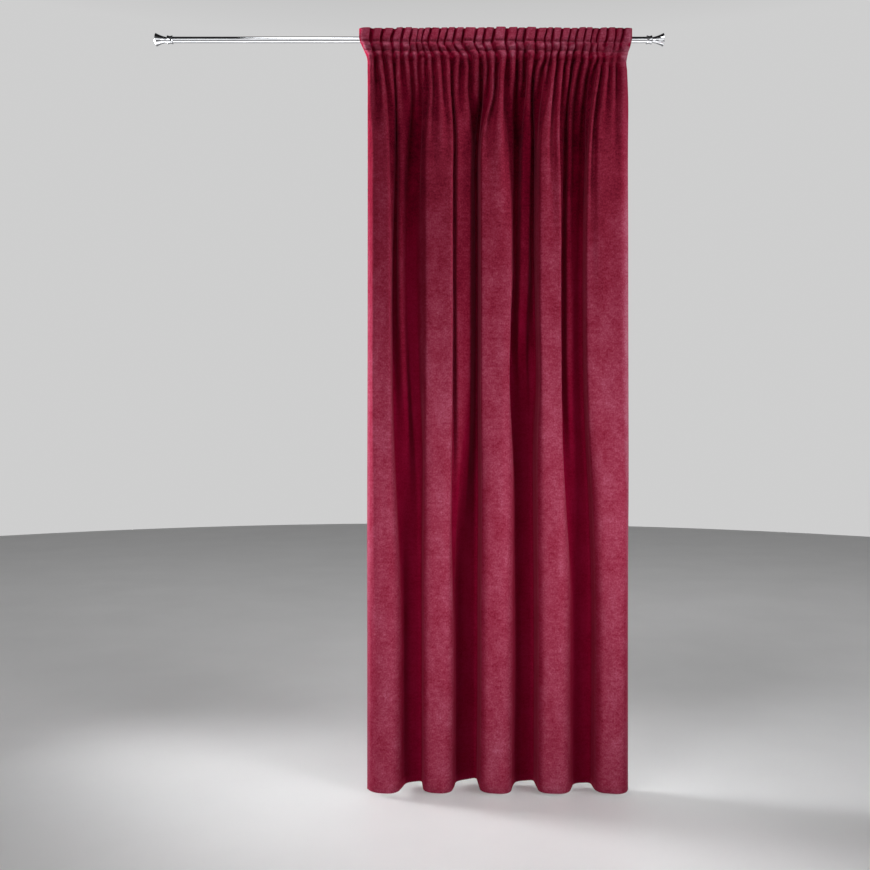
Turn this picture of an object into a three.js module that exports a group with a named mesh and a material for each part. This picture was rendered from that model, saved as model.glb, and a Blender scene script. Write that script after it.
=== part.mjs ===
// Velvet curtain on a rod: one gathered panel with a pencil-pleat heading, the tape sewn behind that
// heading, and the rod that runs through the tape's tunnel, with a flared finial on each end.
// Millimetres, +Z up. The origin is on the rod's axis, halfway along it; +X runs along the rod to the
// right and the viewer stands at -Y.
import * as THREE from 'three';

// Rod and finials
const ROD_DIAMETER = 20;
const ROD_LENGTH = 1600;
const ROUND_SIDES = 24;
const SLEEVE_DEPTH = 16;
const SLEEVE_CLEARANCE = 0.3;
const COLLAR_DIAMETER = 28;
const COLLAR_WAIST = 23.5;
const COLLAR_LENGTH = 18;
const NECK_DIAMETER = 16;
const NECK_LENGTH = 3;
const FLARE_DIAMETER = 42;
const FLARE_START = 18;
const FLARE_BEND = 24;
const FLARE_LENGTH = 35;
const FINIAL_CHAMFER = 1;

// Curtain panel, as it hangs
const DROP = 2500;
const TOP_EDGE = 32;
const CLOTH_THICK = 2;
const HEM_THICK = 3;
const HEM_DEPTH = 100;
const HEAD_LEFT = -165;
const HEAD_WIDTH = 898;
const BODY_LEFT = -137;
const BODY_WIDTH = 851;
const FLARED_HEADER = 25;
const FLARED_ENDS = { left: 144, right: 785 };
const ROD_CLEARANCE = 0.4;
const HANG_CENTRE = -8;
const HANG_SETTLED = 540;
const FOLDS_FORMED = 500;
const SETTLING = 3;
const LOBES_WIDEN = { from: 1000, to: 2000 };

// Heading tape behind the pleats: heights below the top edge, and the tunnel that the rod fills
const TAPE_THICK = 1.2;
const TAPE_TOP = 10;
const TUNNEL_TOP = 17;
const SEWN_ROW_1 = 46;
const SEWN_ROW_2 = 76;
const SEWN_ROW_3 = 112;
const SEAM_GAP = 0.56;
const TUNNEL_GAP = 0.3;
const TUNNEL_SIDES = 6;

// Lobes of the hem in plan, from the left edge: the left foot, the two ends of the face and the right foot
// of each one, first along the rod and then back from the front of the lobes
const HEM_FOLDS = [
  { along: [0, 18, 90, 126], back: [42, 12, 6, 92] },
  { along: [177, 187, 265, 293], back: [104, 16, 6, 101] },
  { along: [363, 374, 456, 496], back: [129, 12, 4, 100] },
  { along: [554, 562, 644, 686], back: [114, 10, 4, 88] },
  { along: [739, 750, 828, 851], back: [90, 12, 2, 38] },
];

// Folds about a third of the way down, where a small fold still stands in each valley between two lobes.
// A small fold also has the place along the heading where it starts.
const MIDDLE_FOLDS = [
  { along: [0, 20, 75, 80], back: [40, 4, 0, 70] },
  { along: [93, 101, 112, 122], back: [70, 38, 38, 64], head: 142 },
  { along: [158, 189, 279, 283], back: [66, 6, 0, 48] },
  { along: [288, 291, 338, 357], back: [48, 24, 36, 104], head: 354 },
  { along: [364, 368, 478, 486], back: [104, 0, 0, 100] },
  { along: [494, 501, 534, 546], back: [100, 54, 54, 102], head: 557 },
  { along: [556, 557, 631, 643], back: [104, 2, 0, 66] },
  { along: [651, 657, 668, 700], back: [66, 42, 42, 64], head: 726 },
  { along: [712, 714, 830, 851], back: [64, 6, 0, 24] },
];

// How much cloth each of a fold's four corners takes to turn
const CORNERS = 4;
const HEM_SOFT = [30, 70, 70, 50];
const MIDDLE_SOFT = [14, 16, 12, 14];

// Heights between which the middle folds give way to the hem's, for the left border, each valley and the
// right border
const MERGES = [
  { from: 1200, to: 2100 },
  { from: 800, to: 1950 },
  { from: 900, to: 2000 },
  { from: 700, to: 1500 },
  { from: 900, to: 1950 },
  { from: 1200, to: 2100 },
];

// Valleys of the pencil pleats along the heading, and how far below the top edge each one runs out
const SHORT = 420;
const MEDIUM = 540;
const LONG = 740;
const LASTING = 950;
const PLEATS = [
  { along: 0, reach: SHORT },
  { along: 39, reach: SHORT },
  { along: 75, reach: LONG },
  { along: 111, reach: LASTING },
  { along: 144, reach: MEDIUM },
  { along: 174, reach: LASTING },
  { along: 200, reach: LONG },
  { along: 223, reach: SHORT },
  { along: 249, reach: MEDIUM },
  { along: 282, reach: MEDIUM },
  { along: 312, reach: LASTING },
  { along: 344, reach: SHORT },
  { along: 371, reach: SHORT },
  { along: 407, reach: LASTING },
  { along: 430, reach: SHORT },
  { along: 456, reach: MEDIUM },
  { along: 492, reach: LONG },
  { along: 522, reach: LASTING },
  { along: 545, reach: SHORT },
  { along: 581, reach: LASTING },
  { along: 611, reach: SHORT },
  { along: 631, reach: SHORT },
  { along: 657, reach: LONG },
  { along: 683, reach: LASTING },
  { along: 706, reach: SHORT },
  { along: 736, reach: LASTING },
  { along: 765, reach: SHORT },
  { along: 785, reach: MEDIUM },
  { along: 815, reach: LASTING },
  { along: 844, reach: SHORT },
  { along: 867, reach: MEDIUM },
  { along: HEAD_WIDTH, reach: SHORT },
];

// Shares of the cloth from the middle of a pleat's face to its valley: where the flat face ends, between
// which the wall beside it is steepest, and where that wall ends in the valley
const PLEAT_WALL = { start: 0.32, steepFrom: 0.44, steepTo: 0.78, end: 0.92 };

// Steps of the mesh: heights below the top edge, shares of a groove, and shares of a corner's turn
const PLEATED_ROWS = [0, 18, 34, SEWN_ROW_1, 61, SEWN_ROW_2, 94, SEWN_ROW_3, 124, 140, 180, 230, 290, 370];
const MIDDLE_ROWS = [470, 610, 780, 980, 1200];
const MERGED_ROWS = [1420, 1640];
const HEM_ROWS = [1860, 2080, 2300];
const HEM_SHOULDER = 6;
const PLEAT_STEPS = [0.19, 0.43, 0.57, 0.81];
const MIDDLE_STEPS = [-0.3, 0.3];
const HEM_STEPS = [-0.4, 0, 0.4];
const NARROWEST_STEP = 3;
const FLARE_STEPS = 4;
const CELLS = 1400;
const GROOVE_SAMPLES = 200;
const HALVINGS = 40;
const STEEPEST = 1.5;
const DEEPEST_GAIN = 3;

const velvet = new THREE.MeshStandardMaterial({ color: 0x7d2038, roughness: 0.9, metalness: 0 });
const tapeCloth = new THREE.MeshStandardMaterial({ color: 0xd9cfc6, roughness: 0.95, metalness: 0 });
const chrome = new THREE.MeshStandardMaterial({ color: 0xc4c6c9, roughness: 0.16, metalness: 1 });

const { smoothstep, lerp, clamp } = THREE.MathUtils;

function bisect(low, high, isTooLow) {
  let bottom = low;
  let top = high;
  for (let step = 0; step < HALVINGS; step += 1) {
    const middle = (bottom + top) / 2;
    if (isTooLow(middle)) {
      bottom = middle;
    } else {
      top = middle;
    }
  }
  return bottom;
}

function interpolate(xs, ys, x) {
  let i = 1;
  while (i < xs.length - 1 && x > xs[i]) {
    i += 1;
  }
  return lerp(ys[i - 1], ys[i], (x - xs[i - 1]) / (xs[i] - xs[i - 1]));
}

function mean(count, valueAt) {
  let sum = 0;
  for (let i = 0; i < count; i += 1) {
    sum += valueAt((i + 0.5) / count);
  }
  return sum / count;
}

// Folds
// A plan section is the angle of the cloth to the rod at each point along its width, so a fold takes up
// exactly the cloth that it needs. The cloth is flat from each corner of the folds to the next one and turns
// softly at the corners.
function measureFolds(folds) {
  const along = folds.flatMap((fold) => fold.along);
  const back = folds.flatMap((fold) => fold.back);
  const slopes = [];
  const places = [0];
  along.slice(1).forEach((next, i) => {
    const across = next - along[i];
    const deep = back[i + 1] - back[i];
    slopes.push(Math.atan2(deep, across));
    places.push(places[i] + Math.hypot(across, deep));
  });
  return { slopes, places };
}

// Halfway between the two ends of each fold's face, in a list with one value for every corner
function faceMiddles(corners) {
  return corners
    .map((corner, i) => (corner + corners[i + 1]) / 2)
    .filter((_, i) => i % CORNERS === 1);
}

function foldAngle({ slopes, places }, soft, cloth) {
  return slopes.slice(1).reduce((angle, slope, i) => {
    const half = soft[(i + 1) % CORNERS] / 2;
    return angle + (slope - slopes[i]) * smoothstep(cloth, places[i + 1] - half, places[i + 1] + half);
  }, slopes[0]);
}

const isSmall = (fold) => fold.head !== undefined;
const onLobes = (values) => values.filter((_, i) => !isSmall(MIDDLE_FOLDS[i]));
const onSmallFolds = (values) => values.filter((_, i) => isSmall(MIDDLE_FOLDS[i]));
const last = (list) => list[list.length - 1];

// The middle folds share the cloth between two lobes as the hem's folds do
const hem = measureFolds(HEM_FOLDS);
const CLOTH_WIDTH = last(hem.places);
const lobePlaces = faceMiddles(hem.places);
const uncut = measureFolds(MIDDLE_FOLDS);
const uncutAnchors = [0, ...onLobes(faceMiddles(uncut.places)), last(uncut.places)];
const lobeAnchors = [0, ...lobePlaces, CLOTH_WIDTH];
const middle = {
  slopes: uncut.slopes,
  places: uncut.places.map((place) => interpolate(uncutAnchors, lobeAnchors, place)),
};

// The lobes part the cloth into stretches: the left border, one for each valley, and the right border
function stretchAt(cloth) {
  return lobePlaces.filter((place) => place < cloth).length;
}

function stretchWidths(lobes) {
  const ends = [0, ...lobes, BODY_WIDTH];
  return ends.slice(1).map((end, i) => end - ends[i]);
}

// Pleats
// Each groove of the heading runs from one pleat's face, back to its valley and out to the next face. Pleats
// are flat-faced at the top edge and rounded where the last row of stitches lets them go.
const headAnchors = [0, ...MIDDLE_FOLDS.filter(isSmall).map((fold) => fold.head), HEAD_WIDTH];
const clothAnchors = [0, ...onSmallFolds(faceMiddles(middle.places)), CLOTH_WIDTH];
const valleys = PLEATS.map((pleat) => interpolate(headAnchors, clothAnchors, pleat.along));
const faces = valleys.slice(1).map((valley, i) => (valley + valleys[i]) / 2);

function flatFaced(t) {
  const { start, steepFrom, steepTo, end } = PLEAT_WALL;
  const wall = (share) => smoothstep(share, start, steepFrom) * (1 - smoothstep(share, steepTo, end));
  return wall(2 * t) - wall(2 - 2 * t);
}

function rounded(t) {
  return Math.sin(2 * Math.PI * t);
}

function steepness(shape, taken) {
  const run = (angle) => mean(GROOVE_SAMPLES, (t) => Math.cos(angle * shape(t)));
  return bisect(0, STEEPEST, (angle) => run(angle) > taken);
}

const grooves = PLEATS.map((pleat, i) => {
  const start = i === 0 ? 0 : faces[i - 1];
  const end = i === faces.length ? CLOTH_WIDTH : faces[i];
  const headStart = interpolate(clothAnchors, headAnchors, start);
  const headEnd = interpolate(clothAnchors, headAnchors, end);
  const taken = (headEnd - headStart) / (end - start);
  return {
    start,
    end,
    valley: valleys[i],
    reach: pleat.reach,
    flatSteep: steepness(flatFaced, taken),
    roundSteep: steepness(rounded, taken),
  };
});

function grooveAt(cloth) {
  return grooves.find((groove) => cloth <= groove.end) ?? last(grooves);
}

function acrossGroove({ start, valley, end }, cloth) {
  const before = cloth < valley;
  return before ? (cloth - start) / (valley - start) / 2 : 0.5 + (cloth - valley) / (end - valley) / 2;
}

// Sections
// The cloth's width is cut into narrow cells. At each height the folds of every stretch deepen until it
// is as wide as it hangs there, and the lobes stay level with each other at the front.
const cells = Array.from({ length: CELLS }, (_, i) => {
  const cloth = ((i + 0.5) / CELLS) * CLOTH_WIDTH;
  const groove = grooveAt(cloth);
  const t = acrossGroove(groove, cloth);
  return {
    hem: foldAngle(hem, HEM_SOFT, cloth),
    middle: foldAngle(middle, MIDDLE_SOFT, cloth),
    flatPleat: groove.flatSteep * flatFaced(t),
    roundPleat: groove.roundSteep * rounded(t),
    reach: groove.reach,
    stretch: stretchAt(cloth),
    head: interpolate(clothAnchors, headAnchors, cloth),
  };
});
const stretches = MERGES.map((_, stretch) => cells.filter((cell) => cell.stretch === stretch));
const CELL = CLOTH_WIDTH / CELLS;

function widthOf(angles) {
  return angles.reduce((sum, angle) => sum + Math.cos(angle) * CELL, 0);
}

function runningSum(start, steps) {
  const sums = [start];
  steps.forEach((step, i) => sums.push(sums[i] + step * CELL));
  return sums;
}

// The angles that bend(gain) gives, with the gain that makes them as wide as asked
function fitWidth(width, bend) {
  const bent = (gain) => bend(gain).map((angle) => clamp(angle, -STEEPEST, STEEPEST));
  return bent(bisect(0, DEEPEST_GAIN, (gain) => widthOf(bent(gain)) > width));
}

function headerShare(height) {
  return 1 - smoothstep(height, FLARED_HEADER, SEWN_ROW_3);
}

// Only the ends of the heading flare out past the folds below it
const leftFlare = BODY_LEFT - HEAD_LEFT;
const headParts = [
  { from: 0, to: FLARED_ENDS.left, flare: leftFlare },
  { from: FLARED_ENDS.left, to: FLARED_ENDS.right, flare: 0 },
  { from: FLARED_ENDS.right, to: HEAD_WIDTH, flare: HEAD_WIDTH - BODY_WIDTH - leftFlare },
];

function pleatAngles(height) {
  const drawnIn = 1 - headerShare(height);
  const round = smoothstep(height, SEWN_ROW_1, SEWN_ROW_3);
  return headParts.flatMap(({ from, to, flare }) => {
    const here = cells.filter(({ head }) => head >= from && head < to);
    const angles = here.map((cell) => lerp(cell.flatPleat, cell.roundPleat, round));
    return fitWidth(to - from - flare * drawnIn, (gain) => angles.map((angle) => gain * angle));
  });
}

const released = pleatAngles(SEWN_ROW_3);
cells.forEach((cell, i) => {
  cell.released = released[i];
});
const headYs = runningSum(0, released.map((angle) => Math.sin(angle)));
const HEAD_DEPTH = Math.max(...headYs) - Math.min(...headYs);
const headWidths = stretches.map((stretch) => widthOf(stretch.map((cell) => cell.released)));
const middleWidths = stretchWidths(onLobes(faceMiddles(MIDDLE_FOLDS.flatMap((fold) => fold.along))));
const hemWidths = stretchWidths(faceMiddles(HEM_FOLDS.flatMap((fold) => fold.along)));
const hemFronts = faceMiddles(HEM_FOLDS.flatMap((fold) => fold.back));

// Below the last row the cloth gives way soon and then settles slowly
function settled(height, end) {
  const left = 1 - clamp((height - SEWN_ROW_3) / (end - SEWN_ROW_3), 0, 1);
  return 1 - left ** SETTLING;
}

function hungAngles(height) {
  const formed = settled(height, FOLDS_FORMED);
  const widened = smoothstep(height, LOBES_WIDEN.from, LOBES_WIDEN.to);
  return stretches.flatMap((stretch, i) => {
    const merged = smoothstep(height, MERGES[i].from, MERGES[i].to);
    const width = lerp(lerp(headWidths[i], middleWidths[i], formed), hemWidths[i], widened);
    return fitWidth(width, (gain) => stretch.map((cell) => {
      const pleat = cell.released * (1 - smoothstep(height, SEWN_ROW_3, cell.reach));
      return gain * (formed * lerp(cell.middle, cell.hem, merged) + pleat);
    }));
  });
}

function levelLobes(ys, height) {
  const share = settled(height, HANG_SETTLED);
  const places = lobePlaces.map((place) => Math.round(place / CELL));
  const offs = hemFronts.map((front, i) => share * (ys[places[i]] - front));
  return ys.map((y, i) => y - interpolate(places, offs, clamp(i, places[0], last(places))));
}

// The heading lies against the front of the rod; below it the folds hang about a plane of their own
function hangCentre(height, depth) {
  const rodFront = -ROD_DIAMETER / 2 - ROD_CLEARANCE - CLOTH_THICK / 2;
  if (height <= SEWN_ROW_3) {
    return rodFront - depth / 2;
  }
  return lerp(rodFront - HEAD_DEPTH / 2, HANG_CENTRE, settled(height, HANG_SETTLED));
}

// One plan section, as a function that gives the point at a place along the cloth
function section(height) {
  const pleated = height <= SEWN_ROW_3;
  const angles = pleated ? pleatAngles(height) : hungAngles(height);
  const left = lerp(BODY_LEFT, HEAD_LEFT, headerShare(height));
  const xs = runningSum(left, angles.map((angle) => Math.cos(angle)));
  const level = levelLobes(runningSum(0, angles.map((angle) => Math.sin(angle))), height);
  const rear = Math.max(...level);
  const front = Math.min(...level);
  const shift = hangCentre(height, rear - front) - (rear + front) / 2;
  return (cloth) => {
    const i = Math.min(Math.floor(cloth / CELL), CELLS - 1);
    const t = cloth / CELL - i;
    return { x: lerp(xs[i], xs[i + 1], t), y: lerp(level[i], level[i + 1], t) + shift };
  };
}

// Sheet solids
// Each row is a list of points across the sheet, with a front and a back vertex; rows run from the top
// down and may have different steps across.
function sheetGeometry(rows) {
  const positions = [];
  const indices = [];
  rows.flat().forEach((point) => {
    point.front.index = positions.length / 3;
    positions.push(point.front.x, point.front.y, point.front.z);
    point.back.index = positions.length / 3;
    positions.push(point.back.x, point.back.y, point.back.z);
  });
  const triangle = (a, b, c) => indices.push(a.index, b.index, c.index);
  const quad = (a, b, c, d) => {
    triangle(a, b, c);
    triangle(a, c, d);
  };
  const bothFaces = (a, b, c) => {
    triangle(a.front, b.front, c.front);
    triangle(a.back, c.back, b.back);
  };
  rows.slice(1).forEach((lower, r) => {
    const upper = rows[r];
    let i = 0;
    let j = 0;
    while (i < upper.length - 1 || j < lower.length - 1) {
      const nextUpper = i < upper.length - 1 ? upper[i + 1].cloth : Infinity;
      const nextLower = j < lower.length - 1 ? lower[j + 1].cloth : Infinity;
      if (nextUpper <= nextLower) {
        bothFaces(lower[j], upper[i + 1], upper[i]);
        i += 1;
      } else {
        bothFaces(lower[j], lower[j + 1], upper[i]);
        j += 1;
      }
    }
    const left = [upper[0], lower[0]];
    const right = [last(upper), last(lower)];
    quad(left[0].front, left[0].back, left[1].back, left[1].front);
    quad(right[0].front, right[1].front, right[1].back, right[0].back);
  });
  const top = rows[0];
  const bottom = last(rows);
  top.slice(1).forEach((point, i) => quad(top[i].front, point.front, point.back, top[i].back));
  bottom.slice(1).forEach((point, i) => quad(bottom[i].front, bottom[i].back, point.back, point.front));
  const geometry = new THREE.BufferGeometry();
  geometry.setAttribute('position', new THREE.Float32BufferAttribute(positions, 3));
  geometry.setIndex(indices);
  geometry.computeVertexNormals();
  return geometry;
}

// Panel: the sheet of velvet, thicker where its hem is turned in
function spaced(columns) {
  const sorted = [...columns].sort((a, b) => a - b);
  const inside = sorted.filter((cloth) => cloth > NARROWEST_STEP && cloth < CLOTH_WIDTH - NARROWEST_STEP);
  const apart = inside.filter((cloth, i) => i === 0 || cloth - inside[i - 1] > NARROWEST_STEP);
  return [0, ...apart, CLOTH_WIDTH];
}

function alongGroove({ start, valley, end }, t) {
  return t < 0.5 ? lerp(start, valley, 2 * t) : lerp(valley, end, 2 * t - 1);
}

function cornerColumns(places, soft, steps) {
  return places.flatMap((place, i) => steps.map((step) => place + step * soft[i % CORNERS]));
}

const pleatColumns = grooves.flatMap((groove) => PLEAT_STEPS.map((t) => alongGroove(groove, t)));
const middleColumns = cornerColumns(middle.places, MIDDLE_SOFT, MIDDLE_STEPS);
const hemColumns = cornerColumns(hem.places, HEM_SOFT, HEM_STEPS);

function panelRow(height, columns, thick) {
  const line = columns.map(section(height));
  const facets = line.slice(1).map((point, i) => Math.atan2(point.y - line[i].y, point.x - line[i].x));
  return columns.map((cloth, i) => {
    const middle = new THREE.Vector3(line[i].x, line[i].y, TOP_EDGE - height);
    const angle = ((facets[i - 1] ?? facets[i]) + (facets[i] ?? facets[i - 1])) / 2;
    const half = new THREE.Vector3(-Math.sin(angle), Math.cos(angle), 0).multiplyScalar(thick / 2);
    return { cloth, front: middle.clone().sub(half), back: middle.clone().add(half) };
  });
}

function makePanel() {
  const hemTop = DROP - HEM_DEPTH;
  const plainRows = (heights, columns) => heights
    .map((height) => panelRow(height, spaced(columns), CLOTH_THICK));
  const rows = [
    ...plainRows(PLEATED_ROWS, pleatColumns),
    ...plainRows(MIDDLE_ROWS, middleColumns),
    ...plainRows(MERGED_ROWS, [...middleColumns, ...hemColumns]),
    ...plainRows([...HEM_ROWS, hemTop], hemColumns),
    panelRow(hemTop + HEM_SHOULDER, spaced(hemColumns), HEM_THICK),
    panelRow(DROP, spaced(hemColumns), HEM_THICK),
  ];
  const panel = new THREE.Mesh(sheetGeometry(rows), velvet);
  panel.name = 'curtain_panel';
  return panel;
}

// Tape: sewn to the back of every pleat's valley, and standing off round the rod between two of its rows
function tapeProfile(cloth, sections) {
  const sewn = (height) => {
    const { x, y } = sections.get(height)(cloth);
    const off = CLOTH_THICK / 2 + SEAM_GAP + TAPE_THICK / 2;
    return new THREE.Vector3(x, y + off, TOP_EDGE - height);
  };
  const top = sewn(TUNNEL_TOP);
  const bottom = sewn(SEWN_ROW_1);
  const round = ROD_DIAMETER / 2 + TUNNEL_GAP + TAPE_THICK / 2;
  const tangent = ({ y, z }) => Math.atan2(Math.abs(z), y) - Math.acos(round / Math.hypot(y, z));
  const first = tangent(top);
  const last = -tangent(bottom);
  const corner = round / Math.cos((first - last) / TUNNEL_SIDES / 2);
  const loop = Array.from({ length: TUNNEL_SIDES + 1 }, (_, i) => {
    const share = i / TUNNEL_SIDES;
    const angle = lerp(first, last, share);
    const x = lerp(top.x, bottom.x, share);
    return new THREE.Vector3(x, corner * Math.cos(angle), corner * Math.sin(angle));
  });
  return [sewn(TAPE_TOP), top, ...loop, bottom, sewn(SEWN_ROW_2), sewn(SEWN_ROW_3)];
}

function makeTape() {
  const heights = [TAPE_TOP, TUNNEL_TOP, SEWN_ROW_1, SEWN_ROW_2, SEWN_ROW_3];
  const sections = new Map(heights.map((height) => [height, section(height)]));
  const profiles = valleys.map((cloth) => ({ cloth, points: tapeProfile(cloth, sections) }));
  const rows = profiles[0].points.map((_, r) => profiles.map(({ cloth, points }) => {
    const before = points[Math.max(r - 1, 0)];
    const after = points[Math.min(r + 1, points.length - 1)];
    const run = after.clone().sub(before);
    const half = new THREE.Vector3(0, -run.z, run.y).setLength(TAPE_THICK / 2);
    return { cloth, front: points[r].clone().sub(half), back: points[r].clone().add(half) };
  }));
  const tape = new THREE.Mesh(sheetGeometry(rows), tapeCloth);
  tape.name = 'heading_tape';
  return tape;
}

// Rod and finials
function makeRod() {
  const bar = new THREE.CylinderGeometry(ROD_DIAMETER / 2, ROD_DIAMETER / 2, ROD_LENGTH, ROUND_SIDES);
  const rod = new THREE.Mesh(bar, chrome);
  rod.rotation.z = -Math.PI / 2;
  rod.name = 'rod';
  return rod;
}

// A turned finial: a waisted collar that sleeves over the rod's end, a neck, then a flare to a flat end
function makeFinial(name, side) {
  const bore = ROD_DIAMETER / 2 + SLEEVE_CLEARANCE;
  const boreEnd = SLEEVE_DEPTH + SLEEVE_CLEARANCE;
  const collar = COLLAR_DIAMETER / 2;
  const neck = NECK_DIAMETER / 2;
  const flareFoot = COLLAR_LENGTH + NECK_LENGTH;
  const flareEnd = flareFoot + FLARE_LENGTH;
  const flare = FLARE_DIAMETER / 2;
  const flareCurve = new THREE.QuadraticBezierCurve(
    new THREE.Vector2(FLARE_START / 2, flareFoot),
    new THREE.Vector2(FLARE_BEND / 2, flareFoot + FLARE_LENGTH / 2),
    new THREE.Vector2(flare, flareEnd - FINIAL_CHAMFER),
  );
  const profile = [
    new THREE.Vector2(0, boreEnd),
    new THREE.Vector2(bore, boreEnd),
    new THREE.Vector2(bore, 0),
    new THREE.Vector2(collar - FINIAL_CHAMFER, 0),
    new THREE.Vector2(collar, FINIAL_CHAMFER),
    new THREE.Vector2(COLLAR_WAIST / 2, COLLAR_LENGTH / 2),
    new THREE.Vector2(collar, COLLAR_LENGTH - FINIAL_CHAMFER),
    new THREE.Vector2(collar - FINIAL_CHAMFER, COLLAR_LENGTH),
    new THREE.Vector2(neck, COLLAR_LENGTH),
    new THREE.Vector2(neck, flareFoot),
    ...flareCurve.getPoints(FLARE_STEPS),
    new THREE.Vector2(flare - FINIAL_CHAMFER, flareEnd),
    new THREE.Vector2(0, flareEnd),
  ];
  const finial = new THREE.Mesh(new THREE.LatheGeometry(profile, ROUND_SIDES), chrome);
  finial.rotation.z = side * -Math.PI / 2;
  finial.position.x = side * (ROD_LENGTH / 2 - SLEEVE_DEPTH);
  finial.name = name;
  return finial;
}

const curtain = new THREE.Group();
curtain.add(makePanel());
curtain.add(makeTape());
curtain.add(makeRod());
curtain.add(makeFinial('finial_right', 1));
curtain.add(makeFinial('finial_left', -1));

export default curtain;
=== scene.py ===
import math

import bmesh
import bpy
import numpy as np
from mathutils import Matrix, Vector


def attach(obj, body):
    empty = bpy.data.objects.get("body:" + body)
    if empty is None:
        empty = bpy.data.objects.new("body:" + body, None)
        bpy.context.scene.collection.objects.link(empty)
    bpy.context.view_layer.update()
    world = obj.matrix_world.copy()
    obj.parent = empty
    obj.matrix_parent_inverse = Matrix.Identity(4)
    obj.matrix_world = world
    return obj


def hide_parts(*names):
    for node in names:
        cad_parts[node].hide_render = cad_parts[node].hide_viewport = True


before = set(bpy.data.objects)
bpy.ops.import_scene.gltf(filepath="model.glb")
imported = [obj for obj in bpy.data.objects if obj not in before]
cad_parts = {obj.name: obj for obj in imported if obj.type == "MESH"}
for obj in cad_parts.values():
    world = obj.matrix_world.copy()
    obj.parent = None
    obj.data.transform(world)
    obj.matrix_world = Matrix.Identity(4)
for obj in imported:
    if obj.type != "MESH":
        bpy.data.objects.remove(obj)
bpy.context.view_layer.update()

# Curtain panel: one cut of short-pile burgundy velvet, turned in at the top, the sides and the hem.
# The tape behind its heading draws it up into pencil pleats, and below them it hangs in five uneven
# lobes, with a small fold in each valley that runs out on the way down to the hem.
MM = 0.001
DROP = 2500 * MM
TOP_EDGE = 32 * MM
CLOTH_THICK = 2 * MM
HEM_THICK = 3 * MM
HEM_DEPTH = 100 * MM
SIDE_HEM = 30 * MM
HEAD_LEFT = -165 * MM
HEAD_WIDTH = 898 * MM
BODY_LEFT = -137 * MM
BODY_WIDTH = 851 * MM
FLARED_HEADER = 25 * MM
FLARED_ENDS = (144 * MM, 785 * MM)
ROD_RADIUS = 10 * MM
ROD_CLEARANCE = 0.4 * MM
HANG_CENTRE = -8 * MM
HANG_SETTLED = 540 * MM
FOLDS_FORMED = 500 * MM
SETTLING = 3
LOBES_WIDEN_FROM = 1000 * MM
LOBES_WIDEN_TO = 2000 * MM
SEWN_ROWS = MM * np.array([46, 76, 112])
FIRST_ROW, SECOND_ROW, LAST_ROW = SEWN_ROWS

# Folds in plan from the left edge, one row each: the left foot, the two ends of the face and the right
# foot, first along the rod and then back from the front of the lobes
HEM_ALONG = MM * np.array([
    [0, 18, 90, 126], [177, 187, 265, 293], [363, 374, 456, 496],
    [554, 562, 644, 686], [739, 750, 828, 851]])
HEM_BACK = MM * np.array([
    [42, 12, 6, 92], [104, 16, 6, 101], [129, 12, 4, 100],
    [114, 10, 4, 88], [90, 12, 2, 38]])
MIDDLE_ALONG = MM * np.array([
    [0, 20, 75, 80], [93, 101, 112, 122], [158, 189, 279, 283],
    [288, 291, 338, 357], [364, 368, 478, 486], [494, 501, 534, 546],
    [556, 557, 631, 643], [651, 657, 668, 700], [712, 714, 830, 851]])
MIDDLE_BACK = MM * np.array([
    [40, 4, 0, 70], [70, 38, 38, 64], [66, 6, 0, 48],
    [48, 24, 36, 104], [104, 0, 0, 100], [100, 54, 54, 102],
    [104, 2, 0, 66], [66, 42, 42, 64], [64, 6, 0, 24]])
# How much cloth each of those four corners takes to turn
HEM_SOFT = MM * np.array([30, 70, 70, 50])
MIDDLE_SOFT = MM * np.array([14, 16, 12, 14])
LOBES_IN_MIDDLE = slice(0, None, 2)
SMALL_FOLDS_IN_MIDDLE = slice(1, None, 2)
# Heights between which the middle folds give way to the hem's: left border, four valleys, right border
MERGE_FROM = MM * np.array([1200, 800, 900, 700, 900, 1200])
MERGE_TO = MM * np.array([2100, 1950, 2000, 1500, 1950, 2100])

# Valleys of the pencil pleats along the heading, and how far below the top edge each one runs out
SHORT, MEDIUM, LONG, LASTING = 420, 540, 740, 950
PLEAT_ALONG = MM * np.array([
    0, 39, 75, 111, 144, 174, 200, 223, 249, 282, 312, 344, 371, 407, 430, 456,
    492, 522, 545, 581, 611, 631, 657, 683, 706, 736, 765, 785, 815, 844, 867, 898])
PLEAT_REACH = MM * np.array([
    SHORT, SHORT, LONG, LASTING, MEDIUM, LASTING, LONG, SHORT, MEDIUM, MEDIUM, LASTING, SHORT, SHORT,
    LASTING, SHORT, MEDIUM, LONG, LASTING, SHORT, LASTING, SHORT, SHORT, LONG, LASTING, SHORT, LASTING,
    SHORT, MEDIUM, LASTING, SHORT, MEDIUM, SHORT])
SMALL_FOLD_HEADS = MM * np.array([142, 354, 557, 726])
# Shares of the cloth from the middle of a pleat's face to its valley: where the flat face ends, where
# the side is steep from and to, and where it ends in the valley
PLEAT_SIDE = (0.32, 0.44, 0.78, 0.92)

# Steps of the model: cells along the cloth, in which its angle to the rod is worked out
CELLS = 1400
GROOVE_STEPS = 200
GROOVE_SAMPLES = (np.arange(GROOVE_STEPS) + 0.5) / GROOVE_STEPS
HALVINGS = 40
STEEPEST = 1.5
DEEPEST_GAIN = 3

# A faint unevenness of the long folds
RIPPLE = 0.1
RIPPLE_WIDE = 46 * MM
RIPPLE_TALL = 420 * MM
RIPPLE_SEED = 5
NOISE_CELLS = 97


def smoothstep(x, low, high):
    t = np.clip((x - low) / (high - low), 0, 1)
    return t * t * (3 - 2 * t)


def blend(a, b, share):
    return a + (b - a) * share


def bisect(low, high, is_too_low):
    for _ in range(HALVINGS):
        middle = (low + high) / 2
        low, high = (middle, high) if is_too_low(middle) else (low, middle)
    return low


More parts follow.
